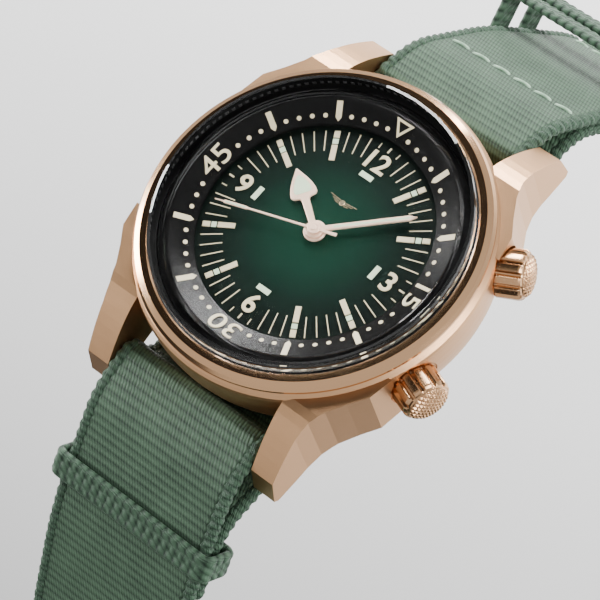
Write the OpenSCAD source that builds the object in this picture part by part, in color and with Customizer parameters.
// Dive watch with an inner rotating bezel, two crowns and a pull-through webbing strap.
// Units are millimetres. +Z points out of the dial, +Y to 12 o'clock, +X to 3 o'clock.
// The origin lies on the underside of the strap's lower layer, under the centre of the dial.

/* [Case] */
// Outer radius of the middle case
case_r = 21; // [20:0.1:22.5]
// Depth from the datum to the underside of the middle case
case_depth = 7.6; // [7.4:0.05:8]
// Depth from the datum to the outside of the case back
back_depth = 9.8; // [9.6:0.05:10.5]
// Free width between the lugs
lug_gap = 22; // [20:0.1:24]
// Length of a lug beyond its spring bar
lug_past = 3.1; // [2.8:0.1:4]
// Outer edge of a lug at its tip, from the middle plane
lug_half = 14.6; // [14:0.1:15.5]
// Radius of the cavity that holds the movement
cavity_r = 17.35; // [17.3:0.01:17.6]

/* [Bezel and crystal] */
// Radius of the crystal
crystal_r = 18.45; // [18.2:0.05:18.6]
// Height of the crystal's flat top above the datum
crystal_top = 3.1; // [2.6:0.1:4]
// Thickness of the crystal's window
crystal_t = 2.2; // [1.8:0.1:2.6]
// Outer radius of the bezel ring
bezel_r = 20.5; // [20.3:0.05:20.8]
// Height of the bezel ring's top above the datum
bezel_top = 1.6; // [1.3:0.05:2]
// Inner radius of the rotating inner bezel
flange_r = 13.6; // [13.4:0.05:13.8]
// Number of face teeth under the inner bezel
flange_teeth = 112; // [112]
// Number of teeth on the inner bezel's pinion
bezel_pinion_teeth = 8; // [8]

/* [Crowns] */
// Radius of a crown over its flutes
crown_r = 2.85; // [2.4:0.05:3.2]
// Length of a crown from its skirt to its domed end
crown_len = 4.2; // [3.8:0.1:5]
// Number of flutes round a crown
crown_flutes = 12; // [8:1:16]
// Depth of the crowns' axis below the datum
crown_drop = 3.5; // [3.4:0.05:3.6]
// Angle of the bezel crown above the 3 o'clock line, in degrees
bezel_crown_angle = 26; // [24:0.5:30]
// Angle of the time crown below the 3 o'clock line, in degrees
time_crown_angle = -19; // [-24:0.5:-18]

/* [Dial and hands] */
// Radius of the dial
dial_r = 14; // [13.8:0.05:14.1]
// Depth of the dial's face below the datum
dial_drop = 1.5; // [1.45:0.05:1.6]
// Length of the hour hand from the centre
hour_len = 8.5; // [7:0.1:9]
// Length of the minute hand from the centre
minute_len = 11.5; // [10:0.1:12.4]
// Length of the seconds hand from the centre
second_len = 12.3; // [11:0.1:13]

/* [Movement] */
// Radius of the main plate
plate_r = 12.9; // [12.8:0.05:13]
// Tooth module of the barrel and centre pinion
barrel_mod = 0.13; // [0.13]
// Tooth module of the centre wheel and third pinion
centre_mod = 0.16; // [0.16]
// Tooth module of the cannon pinion and minute wheel
cannon_mod = 0.15; // [0.15]

/* [Strap] */
// Width of the strap's webbing
strap_w = 21.6; // [19.6:0.1:23.6]
// Thickness of the webbing
strap_t = 1.2; // [1:0.05:1.3]
// Free space between the middle case and the spring bar tubes
bar_gap = 0.55; // [0.5:0.05:0.8]
// Depth of the spring bars below the datum
bar_drop = 6.8; // [6.7:0.05:7]
// Radius of the spring bar tubes
bar_r = 0.75; // [0.6:0.05:0.8]
// Length of the tail below the fall of the 6 o'clock side
tail_hang = 96; // [80:1:110]
// Air between the strap's two layers
layer_gap = 0.15; // [0.1:0.05:0.2]
// Thickness of the strap keepers
keeper_t = 1.1; // [0.9:0.1:1.4]
// Radius of the buckle's hinge bar
buckle_bar_r = 0.8; // [0.7:0.05:1]

/* [Hidden] */
$fn = 96;

running = 0.05;                 // radial clearance of everything that turns or slides
gap = 0.25;                     // air between the webbing and the case
head_z = back_depth + gap + 2 * strap_t + layer_gap;    // height of the head's datum
bronze = [0.72, 0.50, 0.38];
steel = [0.72, 0.73, 0.75];
gilt = [0.80, 0.66, 0.42];
green = [0.23, 0.38, 0.28];

// head frame: everything in the watch head is drawn below and above the datum
module head() { translate([0, 0, head_z]) children(); }
// disc or ring between two heights
module disc(r, z0, z1) { translate([0, 0, z0]) cylinder(r = r, h = z1 - z0); }
module ring(ro, ri, z0, z1) {
    difference() { disc(ro, z0, z1); disc(ri, z0 - 1, z1 + 1); }
}
// places children with +Z pointing outwards along a crown's axis
module crown_axis(a) {
    translate([0, 0, -crown_drop]) rotate([0, 0, a]) rotate([0, 90, 0]) children();
}

// --- gear teeth: a trapezoid tooth, thin enough to leave backlash on both flanks
function gear_points(n, m) = [
    for (i = [0 : n - 1]) let (p = 360 / n)
        for (q = [[-0.25, (n / 2 - 1.1) * m], [-0.09, (n / 2 + 0.7) * m],
                  [0.09, (n / 2 + 0.7) * m], [0.25, (n / 2 - 1.1) * m]])
            [q[1] * cos((i + q[0]) * p), q[1] * sin((i + q[0]) * p)]
];
module gear(n, m, z0, z1) { translate([0, 0, z0]) linear_extrude(z1 - z0) polygon(gear_points(n, m)); }
// turn of a gear of n2 teeth that meshes, in direction a, with one of n1 teeth turned by t1
function mesh_turn(a, t1, n1, n2) = a + 180 + (a - t1) * n1 / n2 + 180 / n2;
// spokes that cut the gaps between the face teeth of a crown gear
function spoke_points(n, r0, r1, half) = [
    for (i = [0 : n - 1]) let (p = 360 / n, a = i * p)
        for (q = [[r0, -1], [r1, -1], [r1, 1], [r0, 1]])
            [q[0] * cos(a) - q[1] * half * sin(a), q[0] * sin(a) + q[1] * half * cos(a)]
];
module face_teeth(n, ro, ri, z0, z1, half) {
    difference() {
        ring(ro, ri, z0, z1);
        translate([0, 0, z0 - 1]) linear_extrude(z1 - z0 + 2)
            polygon(spoke_points(n, ri - 0.15, ro + 0.5, half));
    }
}

// --- middle case: a turned body with four horned lugs, crown seats and spring bar holes
seat_z = -0.6;                  // shelf under the crystal
seat_r = crystal_r + 0.5;       // bore round the crystal and its gasket
track_r = cavity_r + 0.35;      // bore that the inner bezel turns in
track_z = -2.0;                 // shelf under the inner bezel
thread_r = cavity_r + 0.55;     // thread of the case back
thread_z = -6.4;
tube_r = 1.4;
tube_bore = 1.0;
crown_base = case_r - 0.45;     // distance of a crown's skirt from the centre
tip_hole_r = 0.5;
lug_root = 9;
lug_slope_y = case_r - 4;       // where a lug's top starts to slope down
bar_y = case_r + bar_gap + bar_r;
lug_reach = bar_y + lug_past;
shoulder_z = 0.25;
function flank_points(steps) = [
    for (i = [0 : steps]) let (a = 90 * i / steps)
        [case_r - 2.1 + 2.1 * sin(a), -case_depth + (case_depth - 1.2) * (1 - cos(a))]
];
module case_turned() {
    rotate_extrude() polygon(concat(
        [[cavity_r - 3, -case_depth]], flank_points(8),
        [[case_r, -0.7], [case_r - 0.12, -0.3], [case_r - 0.4, 0], [bezel_r - 0.2, shoulder_z],
         [cavity_r - 3, shoulder_z]]));
}
lug_shoulder = -0.15;           // height of a lug's root, just below the case's shoulder
lug_bevel = 0.65;               // length of the cut tip
function lug_top(y) = y < lug_slope_y ? lug_shoulder
    : lug_shoulder - 5.65 * pow((y - lug_slope_y) / (lug_reach - lug_slope_y - lug_bevel), 1.5);
module lug_side() {
    polygon(concat(
        [[lug_root, lug_shoulder]],
        [for (y = [lug_slope_y : 1 : lug_reach - lug_bevel - 0.5]) [y, lug_top(y)]],
        [[lug_reach - lug_bevel, lug_top(lug_reach - lug_bevel)],
         [lug_reach, -9.1], [lug_reach - 0.5, -9.5], [lug_slope_y + 4.5, -8.9], [lug_slope_y, -case_depth - 0.3],
         [lug_root, -case_depth + 0.4]]));
}
module lug_plan() {
    h = lug_half;
    polygon([[lug_gap / 2, lug_root], [h + 4.6, lug_root], [h + 4.0, 12], [h + 2.5, 14.1],
             [h + 1.2, 16.2], [h + 0.4, 18.2], [h, 20.2], [h - 0.2, 22.4], [h - 0.5, lug_reach],
             [lug_gap / 2, lug_reach]]);
}
module lug() {
    intersection() {
        translate([0, 0, -12]) linear_extrude(14) lug_plan();
        translate([30, 0, 0]) rotate([90, 0, -90]) linear_extrude(30) mirror([1, 0]) lug_side();
    }
}
module mid_case() {
    color(bronze) head() difference() {
        union() {
            case_turned();
            for (x = [0, 1], y = [0, 1]) mirror([x, 0, 0]) mirror([0, y, 0]) lug();
        }
        disc(cavity_r, -20, 5);
        disc(track_r, track_z, 5);
        disc(seat_r, seat_z, 5);
        disc(thread_r, -20, thread_z);
        disc(case_r - 2.25, -20, -case_depth);
        for (a = [bezel_crown_angle, time_crown_angle]) crown_axis(a) crown_seat();
        for (s = [-1, 1]) translate([-lug_gap / 2 - 1.4, s * bar_y, -bar_drop]) rotate([0, 90, 0])
            cylinder(r = tip_hole_r, h = lug_gap + 2.8);
        pinion_pocket();
    }
}
// stepped hole for a crown: the tube's bore and the round seat that the skirt sinks into
module crown_seat() {
    seat = crown_base - 0.15;
    rotate_extrude() polygon([
        [0, cavity_r - 1.5], [tube_r, cavity_r - 1.5], [tube_r, seat], [crown_r + 0.25, seat],
        [crown_r + 0.25, seat + 6], [0, seat + 6]]);
}
// room in the case wall for the inner bezel's pinion
module pinion_pocket() {
    crown_axis(bezel_crown_angle) translate([0, 0, cavity_r - 1.5]) cylinder(r = 1.7, h = 1.75);
}

// --- bezel ring: pressed on the case, with a shadow groove below it
module bezel_ring() {
    color(bronze) head() rotate_extrude() polygon([
        [crystal_r + 0.05, shoulder_z + 0.05], [seat_r, shoulder_z + 0.05], [seat_r, shoulder_z],
        [bezel_r - 0.6, shoulder_z], [bezel_r - 0.6, 0.5], [bezel_r, 0.5], [bezel_r, 0.8],
        [bezel_r - 0.3, 1.25], [bezel_r - 0.95, bezel_top], [crystal_r + 0.35, bezel_top],
        [crystal_r + 0.05, bezel_top - 0.3]]);
}
// --- box crystal: a flat window with a tall skirt
skirt_r = crystal_r - 1.55;
module crystal() {
    color([0.85, 0.92, 0.95, 0.35]) head() rotate_extrude() polygon([
        [0, crystal_top - crystal_t], [skirt_r - 0.4, crystal_top - crystal_t],
        [skirt_r, crystal_top - crystal_t - 0.4], [skirt_r, seat_z], [crystal_r, seat_z],
        [crystal_r, crystal_top - 0.5], [crystal_r - 0.15, crystal_top - 0.15],
        [crystal_r - 0.5, crystal_top], [crystal_r - 4, crystal_top + 0.12],
        [crystal_r - 9, crystal_top + 0.22], [0, crystal_top + 0.28]]);
}
module crystal_gasket() { color("white") head() ring(seat_r, crystal_r, seat_z, shoulder_z); }

// --- case back: screwed plug with an outer flange, six key notches and a raised ring
module case_back() {
    color(bronze) head() difference() {
        union() {
            disc(thread_r - running, -case_depth - 1.2, thread_z - 0.1);
            rotate_extrude() polygon([
                [0, -back_depth], [14.5, -back_depth], [17.4, -back_depth + 0.35],
                [case_r - 2.3, -case_depth - 0.8], [case_r - 2.3, -case_depth], [0, -case_depth]]);
        }
        disc(thread_r - 1, -back_depth + 1.2, 0);
        ring(thread_r + 0.6, thread_r + 0.15, -case_depth - 0.5, -case_depth + 1);
        for (i = [0 : 5]) rotate([0, 0, i * 60]) translate([16.1, -1.1, -back_depth - 1])
            cube([3, 2.2, 1.6]);
        ring(13.2, 12.9, -back_depth - 1, -back_depth + 0.12);
        ring(8.2, 7.9, -back_depth - 1, -back_depth + 0.12);
    }
}
module case_back_gasket() {
    color([0.1, 0.1, 0.1]) head()
        ring(thread_r + 0.6, thread_r + 0.15, -case_depth - 0.5, -case_depth);
}

// --- dial: a thin disc on a brass blank, with two feet and a centre hole
dial_t = 0.4;
dial_feet = [80, 260];
foot_d = 11.6;
foot_r = 0.35;
module dial() {
    color([0.06, 0.22, 0.14]) head() difference() {
        union() {
            disc(dial_r, -dial_drop - dial_t, -dial_drop);
            for (a = dial_feet) rotate([0, 0, a]) translate([foot_d, 0, 0])
                disc(foot_r, -dial_drop - dial_t - 1.6, -dial_drop);
        }
        disc(1.1, -5, 0);
    }
}
// --- inner bezel: a conical flange on a geared ring, turned by its own crown
flange_top = 0.25;
flange_foot = -1.95;
ring_r = track_r - 0.1;
face_m = 0.3;                                       // module of the face teeth
face_r = face_m * flange_teeth / 2;                 // pitch radius of the face teeth
module inner_bezel() {
    color([0.03, 0.03, 0.03]) head() {
        rotate_extrude() polygon([
            [flange_r, -dial_drop + 0.2], [dial_r + 0.3, -dial_drop + 0.2], [dial_r + 0.3, flange_foot],
            [ring_r, flange_foot], [ring_r, seat_z - 0.15], [skirt_r - 0.3, seat_z - 0.15],
            [skirt_r - 0.3, flange_top], [skirt_r - 0.6, flange_top], [flange_r, -0.85]]);
        rotate([0, 0, bezel_crown_angle])
            face_teeth(flange_teeth, face_r + 0.5, face_r - 0.7, flange_foot - 0.65, flange_foot, 0.29);
    }
}

// --- crowns: fluted knobs on a stem whose square end slides in its pinion
sleeve_r = tube_r + running;    // the crown's bore over its tube
seal_r = sleeve_r + 0.45;
stem_r = 0.55;
square = 0.74;                  // side of the stem's square end
module crown_knob() {
    difference() {
        union() {
            difference() {
                rotate_extrude() polygon([
                    [0, 0], [crown_r - 0.25, 0], [crown_r, 0.25], [crown_r, crown_len - 0.95],
                    [crown_r - 0.3, crown_len - 0.6], [0, crown_len - 0.6]]);
                for (i = [0 : crown_flutes - 1]) rotate([0, 0, (i + 0.5) * 360 / crown_flutes])
                    translate([crown_r + 0.12, 0, -1]) cylinder(r = 0.38, h = crown_len + 2, $fn = 24);
            }
            rotate_extrude() polygon(concat([[0, crown_len - 1]],
                [for (a = [0 : 15 : 90]) [(crown_r - 0.4) * cos(a), crown_len - 0.6 + 0.6 * sin(a)]]));
        }
        translate([0, 0, -1]) cylinder(r = sleeve_r, h = 2.7);
        translate([0, 0, 0.5]) cylinder(r = seal_r, h = 0.6);
    }
}
module crown_stem(inner) {
    translate([0, 0, inner - crown_base + 0.4]) cylinder(r = stem_r, h = crown_base - inner + 1.4);
    translate([-square / 2, -square / 2, inner - crown_base - 0.9]) cube([square, square, 1.4]);
}
module crown_seal() { ring(seal_r, sleeve_r - 0.03, 0.5, 1.1); }
module crown_tube() {
    difference() {
        cylinder(r = tube_r, h = crown_base - cavity_r + 0.9);
        translate([0, 0, -1]) cylinder(r = stem_r + running, h = 10);
    }
}
tube_start = cavity_r + 0.55;
bezel_pinion_in = face_r - 0.6;
winding_pinion_in = 9.2;
module bezel_crown() {
    color(bronze) head() crown_axis(bezel_crown_angle) translate([0, 0, crown_base]) {
        crown_knob();
        crown_stem(bezel_pinion_in + 1);
    }
}
module bezel_crown_seal() {
    color([0.1, 0.1, 0.1]) head() crown_axis(bezel_crown_angle) translate([0, 0, crown_base]) crown_seal();
}
module bezel_crown_tube() {
    color(steel) head() crown_axis(bezel_crown_angle) translate([0, 0, tube_start]) crown_tube();
}
module time_crown() {
    color(bronze) head() crown_axis(time_crown_angle) translate([0, 0, crown_base]) {
        crown_knob();
        crown_stem(winding_pinion_in + 0.6);
    }
}
module time_crown_seal() {
    color([0.1, 0.1, 0.1]) head() crown_axis(time_crown_angle) translate([0, 0, crown_base]) crown_seal();
}
module time_crown_tube() {
    color(steel) head() crown_axis(time_crown_angle) translate([0, 0, tube_start]) crown_tube();
}
module square_hole(h) {
    translate([-square / 2 - 0.03, -square / 2 - 0.03, -1]) cube([square + 0.06, square + 0.06, h + 2]);
}
module bezel_pinion() {
    color(gilt) head() crown_axis(bezel_crown_angle) translate([0, 0, bezel_pinion_in])
        difference() {
            union() {
                gear(bezel_pinion_teeth, face_m, 0, 1);
                cylinder(r = 0.85, h = 1.35);
            }
            square_hole(2);
        }
}

// --- movement: heights of its layers, from the dial side down
plate_top = -2.7;
plate_foot = -4.0;
bridge_top = -6.3;
bridge_foot = -7.0;
centre_n = 64; third_pinion_n = 8;
third_n = 60;  fourth_pinion_n = 8;
fourth_n = 80; escape_pinion_n = 10;
barrel_n = 72; centre_pinion_n = 12;
cannon_n = 12; minute_n = 36;
minute_pinion_n = 10; hour_n = 40;
winding_n = 10; crown_face_n = 18;
crown_n = 26;  ratchet_n = 46;
function spacing(n1, n2, m) = m * (n1 + n2) / 2;
third_d = spacing(centre_n, third_pinion_n, centre_mod);
third_mod = 2 * third_d / (third_n + fourth_pinion_n);
third_clear = 0.8;              // from the third wheel's axis to the fourth wheel's pitch circle
fourth_mod = 2 * (third_d - third_clear) / fourth_n;
barrel_d = spacing(barrel_n, centre_pinion_n, barrel_mod);
escape_d = spacing(fourth_n, escape_pinion_n, fourth_mod);
minute_d = spacing(cannon_n, minute_n, cannon_mod);
hour_mod = 2 * minute_d / (minute_pinion_n + hour_n);
third_a = -135; barrel_a = 15; escape_a = 140; minute_a = 60;
function polar(r, a) = [r * cos(a), r * sin(a), 0];
third_p = polar(third_d, third_a);
barrel_p = polar(barrel_d, barrel_a);
escape_p = polar(escape_d, escape_a);
minute_p = polar(minute_d, minute_a);
balance_p = polar(8.8, 100);
pallet_p = escape_p + [1.24, 2.48, 0];
crown_wheel_p = polar(10.9, time_crown_angle);
ratchet_v = crown_wheel_p - barrel_p;
ratchet_d = norm(ratchet_v);
ratchet_a = atan2(ratchet_v[1], ratchet_v[0]);
ratchet_mod = 2 * ratchet_d / (crown_n + ratchet_n);
winding_mod = 0.16;
// turns that bring every pair of gears into mesh at rest, from the centre outwards
third_turn = mesh_turn(third_a, 0, centre_n, third_pinion_n);
fourth_turn = mesh_turn(third_a + 180, third_turn, third_n, fourth_pinion_n);
escape_turn = mesh_turn(escape_a, fourth_turn, fourth_n, escape_pinion_n);
barrel_turn = mesh_turn(barrel_a, 0, centre_pinion_n, barrel_n);
minute_turn = mesh_turn(minute_a, 0, cannon_n, minute_n);
hour_turn = mesh_turn(minute_a + 180, minute_turn, minute_pinion_n, hour_n);
crown_turn = time_crown_angle + 180;
ratchet_turn = mesh_turn(ratchet_a + 180, crown_turn, crown_n, ratchet_n);

module spoked(n, m, z0, z1, hub) {
    r = (n / 2 - 1.1) * m - 0.45;
    difference() {
        gear(n, m, z0, z1);
        for (i = [0 : 3]) rotate([0, 0, i * 90 + 20]) translate([0, 0, z0 - 1]) linear_extrude(3)
            polygon(concat([for (a = [0 : 10 : 50]) [r * cos(a), r * sin(a)]],
                           [for (a = [50, 25, 0]) [hub * cos(a), hub * sin(a)]]));
    }
}
module at(p) { translate(p) children(); }
module winding_pinion() {
    color(steel) head() crown_axis(time_crown_angle) translate([0, 0, winding_pinion_in])
        difference() { gear(winding_n, winding_mod, 0, 0.9); square_hole(1); }
}
module main_plate() {
    color(steel) head() difference() {
        union() {
            disc(plate_r, plate_foot, plate_top);
            ring(plate_r, plate_r - 1.1, bridge_foot, plate_foot);
        }
        disc(1.0, -9, 0);
        for (p = [third_p, escape_p, minute_p, pallet_p, balance_p, barrel_p]) at(p) disc(0.3, -4.6, -2);
        for (a = dial_feet) rotate([0, 0, a]) translate([foot_d, 0, 0]) disc(foot_r, -5, 0);
        at(balance_p) disc(4.1, -9, -4.1);
        at(crown_wheel_p) disc(2.75, -9, plate_foot - 0.001);
        crown_axis(time_crown_angle) {
            translate([0, 0, 5]) cylinder(r = stem_r + running, h = 12);
            translate([-1.5, -1.15, winding_pinion_in - 0.35]) cube([3, 2.3, 1.6]);
        }
    }
}
module bridge_blank(a0, a1) {
    translate([0, 0, bridge_foot]) rotate([0, 0, a0]) rotate_extrude(angle = a1 - a0)
        translate([1.6, 0]) square([plate_r - 1.15 - 1.6, bridge_top - bridge_foot]);
}
module barrel_bridge() {
    color(steel) head() difference() {
        bridge_blank(-58, 70);
        disc(1.8, -9, 0);
        at(barrel_p) disc(0.4, -9, 0);
        at(crown_wheel_p) disc(1.05, -9, 0);
        at(crown_wheel_p) difference() { disc(2.75, -6.5, 0); disc(1.6, -9, 0); }
        screw_holes(barrel_screws);
    }
}
module train_bridge() {
    color(steel) head() difference() {
        union() { bridge_blank(126, 298); disc(1.75, bridge_foot, bridge_top); }
        disc(0.3, -6.7, 0);
        for (p = [third_p, escape_p]) at(p) disc(0.3, -6.7, 0);
        screw_holes(train_screws);
        disc(0.6, -9, -6.75);
    }
}
module balance_cock() {
    color(steel) head() difference() {
        bridge_blank(74, 122);
        disc(3.4, -9, 0);
        at(balance_p) disc(0.3, -6.7, 0);
        screw_holes(cock_screws);
    }
}
// small bridge that carries the lower pivot of the pallet fork, over the balance rim
module pallet_bridge() {
    pillar_p = pallet_p + polar(2.2, 150);
    color(steel) head() difference() {
        union() {
            hull() { at(pallet_p) disc(0.7, -5.5, -5.2); at(pillar_p) disc(0.7, -5.5, -5.2); }
            at(pillar_p) disc(0.6, -5.5, -4.1);
        }
        at(pallet_p) disc(0.3, -9, -4.3);
    }
}
barrel_screws = [-50, 45, 64];
train_screws = [132, 185, 235, 290];
cock_screws = [80, 117];
screw_d = plate_r - 2;
module screw_holes(list) { for (a = list) rotate([0, 0, a]) translate([screw_d, 0, 0]) disc(0.4, -9, 0); }
// slotted screws hold the bridges; their shanks stand in the plate's rim
module slot_screw(r, shank, z0, z1, head_h) {
    difference() {
        union() { disc(shank, z0, z1); disc(r, z0 - head_h, z0); }
        translate([-r - 1, -0.12, z0 - head_h - 1]) cube([2 * r + 2, 0.24, 1.15]);
    }
}
module bridge_screws() {
    color("steelblue") head()
        for (a = concat(barrel_screws, train_screws, cock_screws)) rotate([0, 0, a])
            translate([screw_d, 0, 0]) slot_screw(0.75, 0.4, bridge_foot, bridge_top - 0.1, 0.22);
}
module jewels() {
    color("crimson") head() for (p = [third_p, escape_p, balance_p]) at(p)
        ring(0.8, 0.3, plate_top, plate_top + 0.12);
}
module barrel() {
    color(gilt) head() at(barrel_p) difference() {
        union() {
            rotate([0, 0, barrel_turn]) gear(barrel_n, barrel_mod, -4.75, -4.5);
            disc(4.3, -5.3, -4.5);
        }
        disc(4, -5.15, -4.62);
        disc(0.4, -9, 0);
    }
}
// flat spiral ribbon of n turns from radius r0 to r1
function spiral(n, r0, r1, side) = [
    for (i = [0 : n * 24]) let (a = i * 15, r = r0 + (r1 - r0) * i / (n * 24) + side) [r * cos(a), r * sin(a)]
];
module ribbon(n, r0, r1, t, z0, z1) {
    inner = spiral(n, r0, r1, -t / 2);
    translate([0, 0, z0]) linear_extrude(z1 - z0)
        polygon(concat(spiral(n, r0, r1, t / 2), [for (i = [len(inner) - 1 : -1 : 0]) inner[i]]));
}
module mainspring() { color(steel) head() at(barrel_p) ribbon(5, 1, 3.85, 0.16, -5.1, -4.67); }
module ratchet_wheel() {
    color(steel) head() at(barrel_p) {
        rotate([0, 0, ratchet_turn]) gear(ratchet_n, ratchet_mod, -7.25, -7.06);
        disc(0.35, -7.2, -4.45);
        disc(arbor, -4.5, -3.6);
    }
}
module crown_wheel() {
    color(steel) head() at(crown_wheel_p) rotate([0, 0, crown_turn]) {
        gear(crown_n, ratchet_mod, -7.25, -7.06);
        disc(1.0, -7.2, -4.7);
        disc(1.8, -4.8, -4.5);
        face_teeth(crown_face_n, 1.75, 1.2, -4.51, -4.18, 0.18);
    }
}
arbor = 0.25;
module centre_wheel() {
    color(gilt) head() difference() {
        union() {
            spoked(centre_n, centre_mod, -4.3, -4.12, 1.3);
            gear(centre_pinion_n, barrel_mod, -5, -4.45);
            disc(0.6, -4.5, -4.05);
            disc(0.45, -4.2, -2.2);
        }
        disc(arbor + 0.06, -9, 0);
    }
}
module third_wheel() {
    color(gilt) head() at(third_p) rotate([0, 0, third_turn]) {
        gear(third_pinion_n, centre_mod, -4.42, -4.05);
        spoked(third_n, third_mod, -5.2, -5.05, 1.2);
        disc(arbor, -6.6, -3.6);
    }
}
module fourth_wheel() {
    color(gilt) head() rotate([0, 0, fourth_turn]) {
        gear(fourth_pinion_n, third_mod, -5.3, -5.04);
        spoked(fourth_n, fourth_mod, -5.65, -5.5, 1.2);
        disc(arbor, -6.6, -0.4);
    }
}
module escape_wheel() {
    color(steel) head() at(escape_p) rotate([0, 0, escape_turn]) {
        gear(escape_pinion_n, fourth_mod, -5.75, -5.4);
        gear(20, 0.2, -4.95, -4.8);
        disc(arbor, -6.6, -3.6);
    }
}
// fork, lever and anchor in one outline; the anchor's arms stand clear of the escape teeth
anchor_in = 2.36;
anchor_out = 2.66;
module pallet_fork() {
    arm = balance_p - pallet_p;
    towards = atan2(arm[1], arm[0]);
    middle = atan2(pallet_p[1] - escape_p[1], pallet_p[0] - escape_p[0]);
    color(steel) head() {
        at(pallet_p) disc(arbor, -5.4, -3.6);
        translate([0, 0, -4.97]) linear_extrude(0.19) {
            translate([pallet_p[0], pallet_p[1]]) {
                circle(r = 0.38);
                rotate(towards) translate([0, -0.13]) square([2, 0.26]);
            }
            translate([escape_p[0], escape_p[1]]) polygon(concat(
                [for (a = [-34 : 4 : 34]) anchor_in * [cos(middle + a), sin(middle + a)]],
                [for (a = [34 : -4 : -34]) anchor_out * [cos(middle + a), sin(middle + a)]]));
        }
    }
}
module balance_wheel() {
    color(gilt) head() at(balance_p) {
        ring(3.5, 3.05, -5.95, -5.68);
        rotate([0, 0, 30]) translate([-3.2, -0.16, -5.9]) cube([6.4, 0.32, 0.18]);
        disc(0.7, -6, -5.8);
        disc(arbor, -6.6, -3.6);
        disc(0.5, -5, -4.75);
    }
}
module hairspring() { color("royalblue") head() at(balance_p) ribbon(6, 0.5, 2.1, 0.06, -6.25, -6.05); }

// --- motion work and hands above the main plate
module cannon_pinion() {
    color(gilt) head() difference() {
        union() { gear(cannon_n, cannon_mod, -2.65, -2.36); disc(0.67, -2.65, -0.75); }
        disc(0.45, -9, -2.2);
        disc(arbor + 0.06, -9, 0);
    }
}
module minute_wheel() {
    color(gilt) head() at(minute_p) rotate([0, 0, minute_turn]) {
        gear(minute_n, cannon_mod, -2.6, -2.44);
        gear(minute_pinion_n, hour_mod, -2.5, -2.08);
        disc(arbor, -3.4, -2.4);
    }
}
module hour_wheel() {
    color(gilt) head() difference() {
        union() { rotate([0, 0, hour_turn]) gear(hour_n, hour_mod, -2.3, -2.14); disc(0.95, -2.3, -1.1); }
        disc(0.67 + running, -9, 0);
    }
}
hour_angle = 145.5;             // directions of the hands at rest, about ten past ten
minute_angle = 42.8;
second_angle = 197;
module hand(a, z0, z1, outline) {
    rotate([0, 0, a]) translate([0, 0, z0]) linear_extrude(z1 - z0) polygon(outline);
}
function both_sides(half) = concat(half, [for (i = [len(half) - 1 : -1 : 0]) [half[i][0], -half[i][1]]]);
module hour_hand() {
    color(gilt) head() difference() {
        union() {
            disc(1.35, -1.28, -1.08);
            hand(hour_angle, -1.28, -1.08, both_sides([
                [0, 0.34], [4.1, 0.34], [4.6, 0.95], [5.2, 1.35], [5.9, 1.3], [6.8, 0.85], [hour_len, 0.06]]));
        }
        disc(0.95, -9, 0);
    }
}
module minute_hand() {
    color(gilt) head() difference() {
        union() {
            disc(1.05, -0.92, -0.74);
            hand(minute_angle, -0.92, -0.74, both_sides([
                [0, 0.3], [minute_len - 1.1, 0.3], [minute_len, 0.04]]));
        }
        disc(0.67, -9, 0);
    }
}
module seconds_hand() {
    color(gilt) head() difference() {
        union() {
            disc(0.7, -0.6, -0.45);
            hand(second_angle, -0.6, -0.46, both_sides([
                [-2.8, 0.16], [8.2, 0.07], [8.3, 0.17], [second_len - 1, 0.17], [second_len - 0.9, 0.06],
                [second_len, 0.04]]));
        }
        disc(arbor, -9, 0);
    }
}
// --- rotor: a half disc with a heavy rim on a ball bearing under the bridges
module rotor() {
    color(steel) head() difference() {
        union() {
            translate([0, 0, -7.75]) rotate_extrude(angle = 180) translate([1, 0]) square([11, 0.25]);
            translate([0, 0, -8.4]) rotate_extrude(angle = 180) translate([9.6, 0]) square([2.8, 0.9]);
            disc(1.9, -7.75, -7.32);
        }
        disc(0.65, -9, 0);
        for (a = [35, 90, 145]) rotate([0, 0, a]) translate([5.8, 0, 0]) disc(1.5, -9, 0);
    }
}
module rotor_screw() {
    color(steel) head() slot_screw(1.3, 0.6, -7.8, -6.75, 0.3);
}
module movement_holder() {
    color(steel) head() difference() {
        ring(16, plate_r + running, -6.2, -2.8);
        crown_axis(time_crown_angle) translate([0, 0, 10]) cylinder(r = stem_r + 0.1, h = 8);
        crown_axis(bezel_crown_angle) translate([-1, -1, bezel_pinion_in - 1.4]) cube([2, 2, 4]);
        for (a = clamp_angles) rotate([0, 0, a]) translate([14.4, 0, 0]) disc(0.45, -9, -4.5);
    }
}
clamp_angles = [60, 180, 300];
module case_clamps() {
    color(steel) head() for (a = clamp_angles) rotate([0, 0, a]) difference() {
        translate([13.1, -1.1, -6.55]) cube([3.4, 2.2, 0.35]);
        translate([14.4, 0, 0]) disc(0.45, -9, 0);
    }
}
module clamp_screws() {
    color("steelblue") head() for (a = clamp_angles) rotate([0, 0, a]) translate([14.4, 0, 0])
        slot_screw(0.85, 0.45, -6.55, -4.7, 0.3);
}

// --- spring bars: tubes between the lugs with sprung tips in the lug holes
module spring_bars() {
    color(steel) head() for (s = [-1, 1]) translate([-lug_gap / 2 + 0.3, s * bar_y, -bar_drop])
        rotate([0, 90, 0]) difference() {
            cylinder(r = bar_r, h = lug_gap - 0.6);
            translate([0, 0, -1]) cylinder(r = tip_hole_r, h = lug_gap + 2);
        }
}
module bar_tip(side, s) {
    color(steel) head() translate([side * (lug_gap / 2 + 1.2), s * bar_y, -bar_drop])
        rotate([0, -side * 90, 0]) cylinder(r = tip_hole_r - running, h = 3.4);
}
module bar_tip_12_left() { bar_tip(-1, 1); }
module bar_tip_12_right() { bar_tip(1, 1); }
module bar_tip_6_left() { bar_tip(-1, -1); }
module bar_tip_6_right() { bar_tip(1, -1); }

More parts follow.
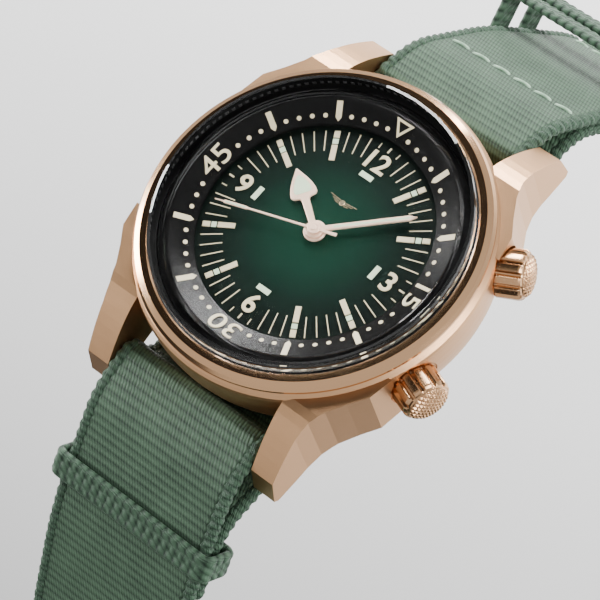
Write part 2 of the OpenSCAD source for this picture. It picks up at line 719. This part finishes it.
// --- strap: each side is a walk of [length, turn] steps away from the middle of the case back
// a point of the walk is [distance, height, heading]
function step_point(p, s, turn, f) =
    turn == 0 ? [p[0] + s * f * cos(p[2]), p[1] + s * f * sin(p[2]), p[2]]
    : let (r = s / (turn * PI / 180), h = p[2] + turn * f)
        [p[0] + r * (sin(h) - sin(p[2])), p[1] - r * (cos(h) - cos(p[2])), h];
function walk(steps, p, i = 0) = i == len(steps) ? [p]
    : let (s = steps[i], n = s[1] == 0 ? 1 : max(2, ceil(abs(s[1]) / 7)))
        concat([for (k = [0 : n - 1]) step_point(p, s[0], s[1], k / n)],
               walk(steps, step_point(p, s[0], s[1], 1), i + 1));
function last(v) = v[len(v) - 1];
function arc_len(r, turn) = r * abs(turn) * PI / 180;
strap_gap = 0.2;
under_z = -back_depth - gap - strap_t / 2;
wrap_r = bar_r + strap_gap + strap_t / 2;
rise_r = -bar_drop - under_z;
round_bar = [[bar_y - wrap_r - rise_r, 0], [arc_len(rise_r, 90), 90], [arc_len(wrap_r, 105), -105],
             [2.5, 0], [5, -30], [8, 0]];
tail_fall = concat(round_bar, [[10, -12], [8, 0], [12, -33]]);
tail_straight = 30;             // the rest of the tail curls inwards by its set
tail_steps = concat(tail_fall, [[tail_straight, 0], [tail_hang - tail_straight, -30]]);
loop_steps = concat(round_bar, [[8, -10]]);
buckle_steps = concat(loop_steps, [[14, 0], [8, -15]]);
tail_walk = walk(tail_steps, [0, under_z, 0]);
buckle_walk = walk(buckle_steps, [0, under_z, 0]);
// sections of webbing: tail side reversed and mirrored, then the buckle side
function beside(w, off, s) = [for (p = w) [s * (p[0] - off * sin(p[2])), p[1] + off * cos(p[2])]];
function flipped(v) = [for (i = [len(v) - 1 : -1 : 0]) v[i]];
function web_outline(tail, front, t) = concat(
    flipped(beside(tail, t / 2, -1)), beside(front, t / 2, 1),
    flipped(beside(front, -t / 2, 1)), beside(tail, -t / 2, -1));
module webbing(tail, front, w) {
    translate([-w / 2, 0, 0]) rotate([90, 0, 90]) linear_extrude(w)
        polygon(web_outline(tail, front, strap_t));
}
// places children at a point of the strap, +Y along it and +Z out of its outer face
module on_strap(p, s = 1) {
    mirror([0, s < 0 ? 1 : 0, 0]) translate([0, p[0], p[1]]) rotate([p[2], 0, 0]) children();
}
buckle_p = last(buckle_walk);
hinge_z = -(buckle_bar_r + strap_gap + strap_t / 2);
slot_w = 3;
module strap_long() {
    color(green) head() difference() {
        union() {
            webbing(tail_walk, buckle_walk, strap_w);
            on_strap(buckle_p) translate([-strap_w / 2, 0, hinge_z]) rotate([0, 90, 0])
                cylinder(r = buckle_bar_r + strap_gap + strap_t, h = strap_w, $fn = 48);
        }
        on_strap(buckle_p) translate([0, 0, hinge_z]) {
            translate([-strap_w, 0, 0]) rotate([0, 90, 0])
                cylinder(r = buckle_bar_r + strap_gap, h = 2 * strap_w, $fn = 48);
            translate([-slot_w / 2, -3.4, -4]) cube([slot_w, 7, 8]);
        }
    }
}
short_z = under_z - strap_t - layer_gap;
short_bend = 27.6;
module strap_short() {
    start = [0, short_z, 0];
    color(green) head()
        webbing(walk([[short_bend, 0], [6, -45], [6, 0]], start),
                walk([[short_bend, 0], [6, -45], [3, 0]], start), strap_w);
}
module keeper(low, high, w) {
    x = strap_w / 2 + 0.25;
    translate([0, -w / 2, 0]) difference() {
        translate([-x - keeper_t, 0, low - keeper_t]) cube([2 * (x + keeper_t), w, high - low + 2 * keeper_t]);
        translate([-x, -1, low]) cube([2 * x, w + 2, high - low]);
    }
}
slope_start = last(walk([for (i = [0 : 4]) round_bar[i]], [0, under_z, 0]));
loop_start = last(walk(loop_steps, [0, under_z, 0]));
module keeper_6() {
    color(green) head() on_strap(step_point(slope_start, 7.4, 0, 1), -1)
        keeper(-strap_t * 1.5 - 0.75, strap_t / 2 + 0.15, 3.4);
}
module keeper_12(along) {
    color(green) head() on_strap(step_point(loop_start, along, 0, 1))
        keeper(-strap_t / 2 - 0.15, strap_t / 2 + 3.6, 3.6);
}
module keeper_12_inner() { keeper_12(1.5); }
module keeper_12_outer() { keeper_12(8.5); }

// --- pin buckle on a bar in the strap's sewn end
frame_half = strap_w / 2 + 2.6;
frame_reach = 13.5;
module buckle_bar() {
    color(bronze) head() on_strap(buckle_p) translate([-frame_half + 0.2, 0, hinge_z])
        rotate([0, 90, 0]) cylinder(r = buckle_bar_r, h = 2 * frame_half - 0.4);
}
module buckle_frame() {
    arm_in = strap_w / 2 + 0.3;
    color(bronze) head() on_strap(buckle_p) translate([0, 0, hinge_z]) difference() {
        translate([0, 0, -1]) linear_extrude(2) difference() {
            union() {
                translate([-frame_half, -1.8]) square([2 * frame_half, frame_reach]);
                translate([-frame_half + 2, 0]) square([2 * frame_half - 4, frame_reach]);
                for (s = [-1, 1]) translate([s * (frame_half - 2), frame_reach - 2]) circle(r = 2);
            }
            translate([-arm_in, -3]) square([2 * arm_in, frame_reach]);
        }
        translate([-frame_half - 1, 0, 0]) rotate([0, 90, 0])
            cylinder(r = buckle_bar_r + running, h = 2 * frame_half + 2);
    }
}
module buckle_tongue() {
    color(bronze) head() on_strap(buckle_p) translate([-1, 0, hinge_z]) difference() {
        union() {
            rotate([0, 90, 0]) cylinder(r = 1.5, h = 2);
            rotate([90, 0, 90]) linear_extrude(2) polygon([
                [0, 0.9], [0, 1.5], [2, 1.95], [frame_reach - 0.4, 1.8], [frame_reach, 1.3], [frame_reach, 1.08],
                [2.5, 1.08], [1.4, 0.5]]);
        }
        translate([-1, 0, 0]) rotate([0, 90, 0]) cylinder(r = buckle_bar_r + running, h = 4);
    }
}

mid_case();
bezel_ring();
crystal();
crystal_gasket();
case_back();
case_back_gasket();
movement_holder();
dial();
inner_bezel();
bezel_pinion();
bezel_crown();
bezel_crown_seal();
bezel_crown_tube();
time_crown();
time_crown_seal();
time_crown_tube();
winding_pinion();
main_plate();
barrel_bridge();
train_bridge();
balance_cock();
pallet_bridge();
barrel();
mainspring();
ratchet_wheel();
crown_wheel();
centre_wheel();
third_wheel();
fourth_wheel();
escape_wheel();
pallet_fork();
balance_wheel();
hairspring();
cannon_pinion();
minute_wheel();
hour_wheel();
hour_hand();
minute_hand();
seconds_hand();
rotor();
rotor_screw();
bridge_screws();
case_clamps();
clamp_screws();
jewels();
spring_bars();
bar_tip_12_left();
bar_tip_12_right();
bar_tip_6_left();
bar_tip_6_right();
strap_long();
strap_short();
keeper_6();
keeper_12_inner();
keeper_12_outer();
buckle_bar();
buckle_frame();
buckle_tongue();
